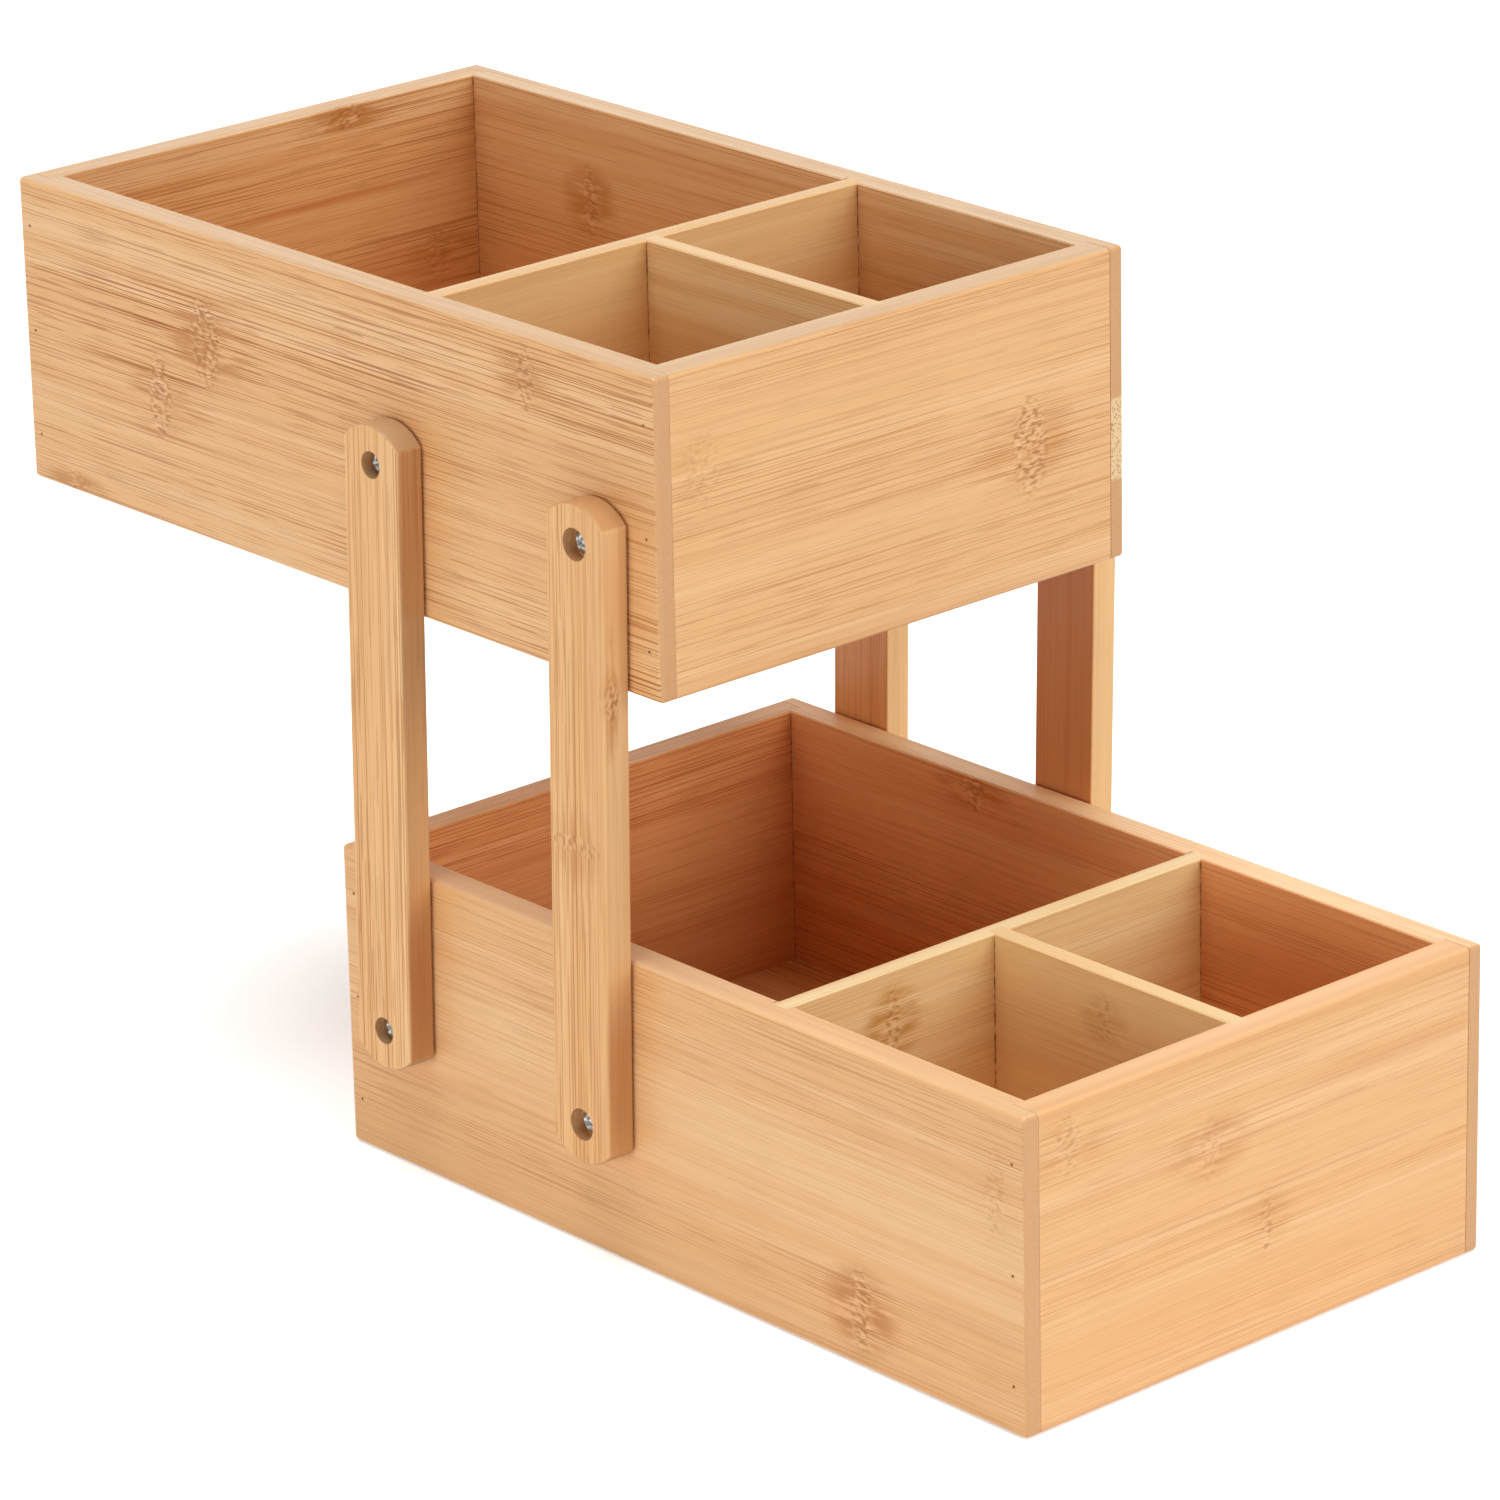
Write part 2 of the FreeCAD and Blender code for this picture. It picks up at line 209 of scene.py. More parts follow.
def bamboo_fibre():
    """Solid bamboo as one group: strips, fibres, streaks, knuckles and end grain, by place in the board."""
    inputs = {"Place": "Vector", "Cut": "Vector", "Core": "Float", "Halo": "Float", "Stain": "Float",
              "Band": "Float", "End": "Float", "Dotted": "Float", "Lines": "Float", "Streaks": "Float",
              "Tint": "Color"}
    outputs = {"Colour": "Color", "Roughness": "Float", "Relief": "Float"}
    tree, given, result = node_group("bamboo_fibre", "ShaderNodeTree", inputs, outputs)
    core, end, dotted = given["Core"], given["End"], given["Dotted"]

    # Where in the cane this point was, with the tangle of the fibres at a knuckle
    cane = vector_maths(tree, "ADD", given["Place"], given["Cut"])
    swing = maths(tree, "SUBTRACT", stretched_noise(tree, cane, TANGLE_CYCLES), NOISE_MIDDLE)
    swing = product(tree, swing, TANGLE_REACH, core)
    sway = wire(tree, "ShaderNodeCombineXYZ", {"Y": swing, "Z": swing})
    tangled = vector_maths(tree, "ADD", cane, sway)

    # Strips and layers of the lamination, each of its own tone, with long soft bands inside them
    strips_per_metre = (0.0, 1 / STRIP_WIDTH, 1 / LAYER_THICKNESS)
    counted = vector_maths(tree, "MULTIPLY_ADD", cane, strips_per_metre, STRIP_SHIFT)
    strip = vector_maths(tree, "FLOOR", counted)
    strip_tone = wire(tree, "ShaderNodeTexWhiteNoise", {"Vector": strip}, noise_dimensions="3D")
    band_tone = stretched_noise(tree, cane, TONE_CYCLES, detail=2.0, rough=0.6)
    tone = maths(tree, "ADD", product(tree, strip_tone, STRIP_CONTRAST), band_tone)
    body = tint(tree, ramp(tree, tone, *DEEP_TO_GROUND), BAMBOO_DEEP, BAMBOO_GROUND)
    body = tint(tree, ramp(tree, tone, *GROUND_TO_PALE), body, BAMBOO_PALE)

    # Wide reddish streaks, then the fibres: thin dark lines, long and short, in denser and barer bands
    streak = product(tree, pattern(tree, cane, **STREAKS), given["Streaks"])
    # Bands given to the board take the same brown: real stains, and on some boards painted shade
    body = tint(tree, maths(tree, "MAXIMUM", streak, given["Band"]), body, STREAK_BROWN)
    crowd = product(tree, pattern(tree, cane, **CROWDING), given["Lines"])
    crowd = maths(tree, "ADD", crowd, product(tree, given["Halo"], HALO_FIBRES))
    long_fibre = pattern(tree, tangled, **LONG_FIBRES)
    short_fibre = pattern(tree, tangled, **SHORT_FIBRES)
    fibre = product(tree, maths(tree, "MAXIMUM", long_fibre, short_fibre), crowd)
    body = tint(tree, product(tree, fibre, FIBRE_STRENGTH), body, FIBRE_BROWN)

    # The knuckle itself: a reddish stain, crossed by a column of short slanting pale and dark strokes
    blotch = product(tree, pattern(tree, tangled, **BLOTCHES), given["Stain"])
    body = tint(tree, blotch, body, KNUCKLE_BROWN)
    slanted = wire(tree, "ShaderNodeMapping", {"Vector": tangled, "Rotation": (0.0, 0.0, KNUCKLE_SLANT)})
    stroke = stretched_noise(tree, slanted, STROKE_CYCLES)
    dark_stroke = product(tree, ramp(tree, stroke, *DARK_STROKE), core, DARK_STROKE_STRENGTH)
    pale_stroke = product(tree, ramp(tree, stroke, *PALE_STROKE), core, PALE_STROKE_STRENGTH)
    body = tint(tree, dark_stroke, body, STROKE_BROWN)
    body = tint(tree, pale_stroke, body, FLECK_PALE)

    # Cut ends are duller, and show the fibres as dots, clearest in the pale dotted patch of a board
    scaled = vector_maths(tree, "MULTIPLY", cane, DOT_CYCLES)
    from_dot = wire(tree, "ShaderNodeTexVoronoi", {"Vector": scaled, "Scale": 1.0})
    dots = ramp(tree, from_dot, *DOT_SPAN)
    dots = product(tree, dots, ramp(tree, dotted, 0.0, 1.0, *DOT_AMOUNTS))
    cut_end = tint(tree, dots, tint(tree, dotted, END_GRAIN, END_PALE), END_FIBRE)
    body = tint(tree, end, body, cut_end)
    # The board's tones multiply in last: its own tone, with painted sheen on rims, painted shade on tips
    # and inside faces, and painted light on the dividers
    body = tint(tree, 1.0, body, given["Tint"], "MULTIPLY")

    # Fibres are a little duller than the clear finish, and the sanded face keeps a faint ribbed relief
    dull = product(tree, maths(tree, "ADD", fibre, end), FIBRE_DULLNESS)
    rough = maths(tree, "ADD", pattern(tree, cane, **SATIN), dull)
    grooves = product(tree, short_fibre, FIBRE_RELIEF)
    ridges = product(tree, stroke, core, STROKE_RELIEF)
    relief = maths(tree, "ADD", grooves, ridges)
    feed(tree, result, {"Colour": body, "Roughness": rough, "Relief": relief})
    return tree


def near(tree, place, middle, half_sizes, full):
    """1 in the heart of an ellipsoid in the board, up to a full share of the way out, and 0 at its skin."""
    scale = Vector([1 / (size * MM) for size in half_sizes])
    feeds = {"Vector": place, "Location": -Vector(middle) * MM * scale, "Scale": scale}
    away = vector_maths(tree, "LENGTH", wire(tree, "ShaderNodeMapping", feeds), out="Value")
    return ramp(tree, away, 1.0, full)


def knuckle_masks(tree, place, knuckles):
    """Strokes, crowded fibres and stain of a board's knuckles."""
    core, halo, stain = 0.0, 0.0, 0.0
    for *middle, length, height, stained, struck in knuckles:
        column = near(tree, place, middle, (length, height, SKIN), full=0.5)
        core = maths(tree, "MAXIMUM", product(tree, column, struck), core)
        beside = near(tree, place, middle, (length * HALO_LENGTHS, height, SKIN), full=0.1)
        halo = maths(tree, "MAXIMUM", product(tree, beside, struck), halo)
        stain_length = length * STAIN_LENGTHS + STAIN_MARGIN
        blot = near(tree, place, middle, (stain_length, height, SKIN), full=0.4)
        stain = maths(tree, "MAXIMUM", product(tree, blot, stained), stain)
    return core, halo, stain


def stain_and_shade_mask(tree, place, stains_and_shade):
    """Reddish bands of a board, added up: real stains, and on some boards painted shade."""
    band = 0.0
    for *middle, length, height, depth, amount in stains_and_shade:
        patch = near(tree, place, middle, (length, height, depth), full=0.2)
        band = maths(tree, "ADD", product(tree, patch, amount), band)
    return band


def facing(tree, normal, way, low, high, both=False):
    """1 on the faces that look along a way, or along it either way, and 0 on the others."""
    towards = vector_maths(tree, "DOT_PRODUCT", normal, way, out="Value")
    if both:
        towards = maths(tree, "ABSOLUTE", towards)
    return ramp(tree, towards, low, high)


def tone_on_tone(tone, other):
    """Two tones, one on top of the other."""
    return [a * b for a, b in zip(tone, other)]


def bamboo_board(node, grain, cut, *, knuckles=(), stains_and_shade=(), shade=PLAIN_TONE, lines=1.0, streaks=0.12,
                 rim_tone_and_sheen=UPPER_RIM_SHEEN, painted_tip_shade=PLAIN_TONE, inside=None, painted_inside_shade=UPPER_INSIDE_SHADE, dotted=None):
    """Bamboo for one solid: grain along the board, and tones on its rims, ends and inside face, mostly
    painted light and shade.

    The grain turns the solid's axes to along, across and through the board, and the cut is the place in
    the cane that the board came from, in metres. A knuckle is its place along, across and through from
    the middle of the board, its half length and half height, in mm, then its stain and its strokes from
    0 to 1. A stain is a place, three half sizes and an amount, and a dotted end a place and half sizes;
    on some boards the stains are painted shade. The shade tones the whole board. The rim tone makes its
    long edges paler, a painted sheen, and on the arms gives their edges their colour; the tip tone darkens
    its ends, painted shade; the inside tone darkens the face that looks the inside way, painted shade.
    Lines and streaks say how strong the fibres and red streaks are."""
    material, tree, shader, seen = new_finish("bamboo_" + node)
    low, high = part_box(node)
    middle = (low + high) / 2
    feeds = {"Vector": seen["Object"], "Location": -(grain @ middle), "Rotation": grain.to_euler()}
    place = wire(tree, "ShaderNodeMapping", feeds)
    core, halo, stain = knuckle_masks(tree, place, knuckles)
    pale_end = near(tree, place, dotted[:3], dotted[3:], full=0.9) if dotted else 0.0
    end = facing(tree, seen["Normal"], grain[0], *END_FACING, both=True)
    edge = facing(tree, seen["Normal"], grain[1], *RIM_FACING, both=True)
    # Long edges toned: on the boards a painted sheen that makes their rims paler, on the arms their edge
    # colour
    tone = tint(tree, edge, shade, tone_on_tone(shade, rim_tone_and_sheen))
    # Ends toned: on the arms, darker tips as painted shade
    tone = tint(tree, end, tone, tone_on_tone(shade, painted_tip_shade))
    drawn = ramp(tree, edge, 0.0, 1.0, lines, lines * LINES_ON_RIM)
    # The face that looks the inside way is toned darker: painted shade inside the boxes and on the arms'
    # inner faces
    if inside:
        within = facing(tree, seen["Normal"], inside, *INSIDE_FACING)
        tone = tint(tree, within, tone, tone_on_tone(shade, painted_inside_shade))
        streaks = ramp(tree, within, 0.0, 1.0, streaks, STREAKS_INSIDE)
        drawn = product(tree, drawn, ramp(tree, within, 0.0, 1.0, 1.0, LINES_INSIDE))
    fibre = tree.nodes.new("ShaderNodeGroup")
    fibre.node_tree = bamboo
    feed(tree, fibre, {"Place": place, "Cut": cut, "Core": core, "Halo": halo, "Stain": stain,
                       "Band": stain_and_shade_mask(tree, place, stains_and_shade), "End": end, "Dotted": pale_end,
                       "Lines": drawn, "Streaks": streaks, "Tint": tone})
    feeds = {"Strength": RELIEF_STRENGTH, "Distance": RELIEF_DEPTH, "Height": fibre.outputs["Relief"]}
    feed(tree, shader, {"Base Color": fibre.outputs["Colour"], "Roughness": fibre.outputs["Roughness"],
                        "Specular IOR Level": SATIN_SHINE, "Normal": wire(tree, "ShaderNodeBump", feeds)})
    dress(node, material)


# Where the faces of the side boards are, in mm through them, and the marks on each board
OUTSIDE_LEFT, INSIDE_LEFT = -5.0, 5.0
OUTSIDE_RIGHT, INSIDE_RIGHT = 5.0, -5.0
UPPER_LEFT_KNUCKLES = ((58, 15, OUTSIDE_LEFT, 9, 18, 1.0, 1.0), (82, -8, OUTSIDE_LEFT, 7, 17, 0.40, 1.0),
                       (-93, 37, OUTSIDE_LEFT, 5, 13, 0.6, 0.9), (127, -46, OUTSIDE_LEFT, 7, 5, 0.9, 0.6),
                       (40, 10, INSIDE_LEFT, 5, 14, 0.5, 0.6))
UPPER_RIGHT_KNUCKLES = ((83, 18, INSIDE_RIGHT, 4.5, 15, 0.8, 0.8),
                        (-60, 12, OUTSIDE_RIGHT, 5, 15, 0.5, 0.7),
                        (70, -22, OUTSIDE_RIGHT, 4, 13, 0.2, 0.7))
UPPER_RIGHT_DOTS = (-150, -11, 2.5, 6, 13.5, 20)
LOWER_LEFT_KNUCKLES = ((-82, -31, OUTSIDE_LEFT, 6, 17, 1.0, 1.0),
                       (-138, 22, OUTSIDE_LEFT, 6, 18, 0.12, 0.35), (90, 5, INSIDE_LEFT, 5, 14, 0.5, 0.6))
LOWER_LEFT_STAINS = ((-125, -21, OUTSIDE_LEFT, 60, 4, SKIN, 0.35),
                     (120, -18, OUTSIDE_LEFT, 60, 6, SKIN, 0.25))
LOWER_RIGHT_KNUCKLES = ((56, 44, INSIDE_RIGHT, 7, 8, 1.0, 0.9), (-105, -14, OUTSIDE_RIGHT, 5, 15, 0.5, 0.6),
                        (110, 24, OUTSIDE_RIGHT, 4, 13, 0.2, 0.6))
# Dark patches inside the lower right side, over its front compartment's wall and along the top of the
# inside face: painted shade
LOWER_RIGHT_PAINTED_SHADE = ((-95, 15, INSIDE_RIGHT, 70, 45, SKIN, 0.50),
                      (40, 40, INSIDE_RIGHT, 110, 14, SKIN, 0.45))
LEFTWARD, RIGHTWARD = (-1, 0, 0), (1, 0, 0)
bamboo = bamboo_fibre()
bamboo_board("upper_left_side", GRAIN_BACKWARD, (0.3, 0.1, 0.0), knuckles=UPPER_LEFT_KNUCKLES,
             streaks=0.08, inside=RIGHTWARD)
bamboo_board("upper_right_side", GRAIN_BACKWARD, (1.7, 0.5, 0.2), knuckles=UPPER_RIGHT_KNUCKLES,
             inside=LEFTWARD, dotted=UPPER_RIGHT_DOTS)
bamboo_board("lower_left_side", GRAIN_BACKWARD, (2.9, 1.1, 0.4), knuckles=LOWER_LEFT_KNUCKLES,
             stains_and_shade=LOWER_LEFT_STAINS, lines=0.46, streaks=0.22, rim_tone_and_sheen=LOWER_LEFT_RIM_SHEEN,
             inside=RIGHTWARD, painted_inside_shade=LOWER_INSIDE_SHADE)
bamboo_board("lower_right_side", GRAIN_BACKWARD, (4.2, 1.9, 0.1), knuckles=LOWER_RIGHT_KNUCKLES,
             stains_and_shade=LOWER_RIGHT_PAINTED_SHADE, rim_tone_and_sheen=LOWER_RIM_SHEEN, inside=LEFTWARD, painted_inside_shade=LOWER_INSIDE_SHADE)

# Front and back boards: the same laminated bamboo with the grain from side to side.
# They stand between the lips of the side boards, glued into the rebates and bradded.
GRAIN_SIDEWAYS = Matrix(((1, 0, 0), (0, 0, 1), (0, -1, 0)))
FRONT_FACE, BACK_FACE = 5.0, -5.0
UPPER_FRONT_TONE = (1.02, 1.06, 1.09, 1.0)
# A weaker painted sheen on the lower front board's rims
LOWER_FRONT_RIM_SHEEN = (1.02, 1.04, 1.16, 1.0)
UPPER_FRONT_KNUCKLES = ((54, -5, FRONT_FACE, 9, 19, 0.42, 1.0), (-76, 18, FRONT_FACE, 9, 14, 0.25, 0.3),
                        (20, 20, BACK_FACE, 5, 14, 0.5, 0.6))
UPPER_BACK_KNUCKLES = ((30, 45, FRONT_FACE, 9, 6, 0.9, 0.8), (66, -8, FRONT_FACE, 6, 12, 0.7, 0.45),
                       (-45, 8, BACK_FACE, 5, 15, 0.5, 0.7))
UPPER_BACK_STAINS = ((20, 19, FRONT_FACE, 70, 2.4, SKIN, 0.75), (50, -14, FRONT_FACE, 70, 18, SKIN, 0.50))
LOWER_FRONT_KNUCKLES = ((-76, 36, FRONT_FACE, 6, 13, 0.35, 0.4), (-20, 18, FRONT_FACE, 7, 13, 0.5, 0.3),
                        (3, -12, FRONT_FACE, 3, 14, 0.25, 0.55), (50, 12, BACK_FACE, 4, 13, 0.5, 0.6))
LOWER_FRONT_STAINS = ((55, 26, FRONT_FACE, 60, 5, SKIN, 0.30), (-50, 20, FRONT_FACE, 45, 5, SKIN, 0.20))
LOWER_BACK_KNUCKLES = ((-10, 22, FRONT_FACE, 3, 8, 0.2, 0.3), (52, -6, BACK_FACE, 5, 15, 0.5, 0.7),
                       (-60, 28, BACK_FACE, 4, 12, 0.2, 0.7))
FORWARD, BACKWARD = (0, -1, 0), (0, 1, 0)
bamboo_board("upper_front_panel", GRAIN_SIDEWAYS, (5.3, 0.2, 0.3), knuckles=UPPER_FRONT_KNUCKLES,
             shade=UPPER_FRONT_TONE, lines=0.50, streaks=0.20, inside=BACKWARD)
bamboo_board("upper_back_panel", GRAIN_SIDEWAYS, (6.1, 0.9, 0.5), knuckles=UPPER_BACK_KNUCKLES,
             stains_and_shade=UPPER_BACK_STAINS, inside=FORWARD)
bamboo_board("lower_front_panel", GRAIN_SIDEWAYS, (7.4, 1.3, 0.2), knuckles=LOWER_FRONT_KNUCKLES,
             stains_and_shade=LOWER_FRONT_STAINS, lines=0.36, streaks=0.22, rim_tone_and_sheen=LOWER_FRONT_RIM_SHEEN,
             inside=BACKWARD, painted_inside_shade=LOWER_INSIDE_SHADE)
bamboo_board("lower_back_panel", GRAIN_SIDEWAYS, (8.8, 1.6, 0.1), knuckles=LOWER_BACK_KNUCKLES,
             rim_tone_and_sheen=LOWER_RIM_SHEEN, inside=FORWARD, painted_inside_shade=LOWER_INSIDE_SHADE)

# Bases: thin bamboo panels, one in the bottom of each box, with the grain front to back.
# They are held all round in grooves in the four boards.
GRAIN_FLAT = Matrix(((0, 1, 0), (-1, 0, 0), (0, 0, 1)))
BASE_TONE = (0.97, 0.97, 0.98, 1.0)
BASE_TOP, BASE_UNDERSIDE = 2.5, -2.5
BASE_KNUCKLES = ((-90, 30, BASE_TOP, 4, 11, 0.3, 0.6), (35, -25, BASE_TOP, 5, 11, 0.5, 0.6),
                 (80, 50, BASE_UNDERSIDE, 4, 11, 0.2, 0.6), (-30, -45, BASE_UNDERSIDE, 5, 11, 0.5, 0.6))
BASE_CUTS = {"upper": (9.5, 0.4, 0.3), "lower": (10.7, 0.8, 0.6)}
TIERS = ("lower", "upper")
for tier in TIERS:
    bamboo_board(tier + "_base_panel", GRAIN_FLAT, BASE_CUTS[tier], knuckles=BASE_KNUCKLES, shade=BASE_TONE)

# Dividers: 6 mm bamboo, let into shallow housings and level with the rims. Their paler, yellower tone is
# painted light, stronger in the lower box.
# The cross divider runs from side to side, and the short one parts the two front compartments.
DIVIDER_PAINTED_LIGHT = {"upper": (1.05, 1.20, 1.25, 1.0), "lower": (1.10, 1.36, 1.46, 1.0)}
# A faint painted sheen on the dividers' top edges
DIVIDER_RIM_SHEEN = (0.95, 0.97, 1.08, 1.0)
DIVIDER_LINES = 0.28
DIVIDER_CUTS = {"upper": (11.2, 0.3, 0.2), "lower": (12.6, 0.7, 0.5)}
CROSS_FRONT, SHORT_RIGHT, SHORT_LEFT = 3, 3, -3
CROSS_KNUCKLES = {"upper": (62, 6, CROSS_FRONT, 4, 12, 0.2, 0.5),
                  "lower": (-44, 26, CROSS_FRONT, 3.5, 15, 1.0, 0.9)}
SHORT_KNUCKLES = {"upper": (-20, 12, SHORT_RIGHT, 4, 10, 0.2, 0.5),
                  "lower": (2, 28, SHORT_LEFT, 3, 11, 0.4, 0.5)}
for tier in TIERS:
    cut = DIVIDER_CUTS[tier]
    look = {"shade": DIVIDER_PAINTED_LIGHT[tier], "lines": DIVIDER_LINES, "rim_tone_and_sheen": DIVIDER_RIM_SHEEN}
    cross_marks, short_marks = [CROSS_KNUCKLES[tier]], [SHORT_KNUCKLES[tier]]
    bamboo_board(tier + "_cross_divider", GRAIN_SIDEWAYS, cut, knuckles=cross_marks, **look)
    bamboo_board(tier + "_short_divider", GRAIN_BACKWARD, cut[::-1], knuckles=short_marks, **look)

# Glue: thin brown beads of dried glue, squeezed out unevenly along the upright inside corners
# of the six compartments and wiped off roughly; a little fills the slack behind the divider ends.
GLUE_BROWN = (0.330, 0.130, 0.050, 1.0)
GLUE_PALE = (0.640, 0.360, 0.180, 1.0)
GLUE_SIZES = {"Bead Radius": 0.00020, "Unevenness": 0.00022, "Spacing": 0.0007}
THINNEST_BEAD = 0.00006
BEAD_SIDES = 6
LUMPS_PER_METRE = 420.0
LUMP_SWELL = 4.0
CRUMB_CYCLES = (700.0, 700.0, 500.0)
CRUMB_SPAN = (0.56, 0.70)
GLUE_ROUGHNESS = (0.35, 0.6)
FIRST_GLUE_SEED = 2.0
BEAD_BELOW_RIM = 0.0012
SLACK_BELOW_RIM = 0.0001


def end_tree(tree, result, shape, finish):
    """Ends a tree of shapes with real meshes of one material."""
    shape = wire(tree, "GeometryNodeRealizeInstances", {"Geometry": shape})
    shape = wire(tree, "GeometryNodeSetMaterial", {"Geometry": shape, "Material": finish})
    feed(tree, result, {"Geometry": shape})


def glue_beads():
    """Tree that turns straight edges into thin uneven beads along them."""
    inputs = {"Geometry": "Geometry", **dict.fromkeys(GLUE_SIZES, "Float"),
              "Seed": "Float", "Finish": "Material"}
    tree, given, result = node_group("glue_beads", "GeometryNodeTree", inputs, {"Geometry": "Geometry"})
    line = wire(tree, "GeometryNodeMeshToCurve", {"Mesh": given["Geometry"]})
    feeds = {"Curve": line, "Length": given["Spacing"]}
    line = wire(tree, "GeometryNodeResampleCurve", feeds, mode="LENGTH")
    spot = wire(tree, "GeometryNodeInputPosition", {})
    feeds = {"Vector": spot, "W": given["Seed"], "Scale": LUMPS_PER_METRE, "Detail": 1.0}
    lumps = wire(tree, "ShaderNodeTexNoise", feeds, noise_dimensions="4D")
    swell = product(tree, maths(tree, "SUBTRACT", lumps, NOISE_MIDDLE), given["Unevenness"], LUMP_SWELL)
    radius = maths(tree, "MAXIMUM", maths(tree, "ADD", given["Bead Radius"], swell), THINNEST_BEAD)
    ring = wire(tree, "GeometryNodeCurvePrimitiveCircle", {"Resolution": BEAD_SIDES, "Radius": 1.0})
    feeds = {"Curve": line, "Profile Curve": ring, "Scale": radius, "Fill Caps": True}
    bead = wire(tree, "GeometryNodeCurveToMesh", feeds)
    bead = wire(tree, "GeometryNodeSetShadeSmooth", {"Geometry": bead, "Shade Smooth": True})
    end_tree(tree, result, bead, given["Finish"])
    return tree


def dried_glue():
    """Brown glue with paler crumbs."""
    material, tree, shader, seen = new_finish("dried_glue")
    crumbs = stretched_noise(tree, seen["Object"], CRUMB_CYCLES, detail=2.0)
    colour = tint(tree, ramp(tree, crumbs, *CRUMB_SPAN), GLUE_BROWN, GLUE_PALE)
    rough = ramp(tree, crumbs, *NOISE_SPAN, *GLUE_ROUGHNESS)
    feed(tree, shader, {"Base Color": colour, "Roughness": rough})
    return material


def grown_piece(name, mesh, tree, values):
    """A plain mesh from a base mesh and a node tree whose inputs are set by name."""
    grower = bpy.data.objects.new(name + "_base", mesh)
    bpy.context.scene.collection.objects.link(grower)
    modifier = grower.modifiers.new("grow", "NODES")
    modifier.node_group = tree
    for item in tree.interface.items_tree:
        if item.in_out == "INPUT" and item.name in values:
            modifier[item.identifier] = values[item.name]
    evaluated = grower.evaluated_get(bpy.context.evaluated_depsgraph_get())
    made = bpy.data.meshes.new_from_object(evaluated)
    bpy.data.objects.remove(grower)
    piece = bpy.data.objects.new(name, made)
    bpy.context.scene.collection.objects.link(piece)
    return piece


glue_tree = glue_beads()
glue_finish = dried_glue()
for count, tier in enumerate(TIERS):
    cross_low, cross_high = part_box(tier + "_cross_divider")
    short_low, short_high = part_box(tier + "_short_divider")
    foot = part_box(tier + "_base_panel")[1].z
    bead_top = cross_high.z - BEAD_BELOW_RIM
    slack_top = cross_high.z - SLACK_BELOW_RIM
    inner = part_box(tier + "_right_side")[0].x
    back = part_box(tier + "_back_panel")[0].y
    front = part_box(tier + "_front_panel")[1].y
    seams = []
    for x in (-inner, inner):
        seams += [(x, back), (x, cross_high.y), (x, cross_low.y), (x, front)]
    for x in (short_low.x, short_high.x):
        seams += [(x, cross_low.y), (x, front)]
    ends = [(x, y, z) for x, y in seams for z in (foot, bead_top)]
    for x, divider_end in ((-inner, cross_low.x), (inner, cross_high.x)):
        ends += [(x, cross_high.y, slack_top), (divider_end, cross_high.y, slack_top)]
    runs = bpy.data.meshes.new(tier + "_glue_lines")
    runs.from_pydata(ends, [(k, k + 1) for k in range(0, len(ends), 2)], [])
    values = {**GLUE_SIZES, "Seed": FIRST_GLUE_SEED + count, "Finish": glue_finish}
    glue = grown_piece(tier + "_corner_glue", runs, glue_tree, values)
    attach(glue, tier + "_box")

# Corner brads: thin steel pins, three in each corner, driven through the lips of the side boards
# into the short boards and set just below the face, where the heads have gone brown.
BRAD_DARK = (0.270, 0.130, 0.060, 1.0)
BRAD_RUST = (0.400, 0.195, 0.090, 1.0)
RUST_CYCLES = (900.0, 900.0, 900.0)
RUST_SPAN = (0.35, 0.65)
BRAD_ROUGHNESS = (0.5, 0.75)
BRAD_METAL = 0.4


def browned_steel():
    """Dull steel with a brown skin that varies from head to head."""
    material, tree, shader, seen = new_finish("browned_brad_steel")
    patches = stretched_noise(tree, seen["Object"], RUST_CYCLES, detail=3.0)
    colour = tint(tree, ramp(tree, patches, *RUST_SPAN), BRAD_DARK, BRAD_RUST)
    rough = ramp(tree, patches, *NOISE_SPAN, *BRAD_ROUGHNESS)
    feed(tree, shader, {"Base Color": colour, "Roughness": rough, "Metallic": BRAD_METAL})
    return material


brad_finish = browned_steel()
for tier in TIERS:
    dress(tier + "_corner_brads", brad_finish)

# Arms: four flat bamboo bars with rounded tips, grain along their length, two strips wide.
# Each has a counterbored screw well at either pivot and eased edges.
REST_LEAN = math.radians(1.45)
GRAIN_UPWARD = Matrix(((0, 0, 1), (0, 1, 0), (-1, 0, 0))) @ Matrix.Rotation(-REST_LEAN, 3, "X")
ARM_TONE = (1.05, 1.06, 1.00, 1.0)
# Tip tones darken the arms' ends: painted shade against the light that falls on their tops
FRONT_TIP_SHADE, REAR_TIP_SHADE = (0.80, 0.74, 0.68, 1.0), (0.76, 0.82, 0.92, 1.0)
# Edge tones colour the arms' long edges; the left rear arm's edges are darker, partly painted shade
LEFT_FRONT_EDGE, LEFT_REAR_EDGE_AND_SHADE = (0.85, 0.87, 0.96, 1.0), (0.79, 0.77, 0.83, 1.0)
RIGHT_ARM_EDGE = (1.03, 1.14, 1.22, 1.0)
# Inside tones darken the arms' inner faces, the right arms' most: painted shade
LEFT_ARM_INSIDE_SHADE = (0.86, 0.70, 0.62, 1.0)
RIGHT_FRONT_INSIDE_SHADE, RIGHT_REAR_INSIDE_SHADE = (0.77, 0.54, 0.46, 1.0), (0.85, 0.66, 0.56, 1.0)
ARM_LEFT_FACE, ARM_RIGHT_FACE = 5, -5
ALL_THROUGH = 12
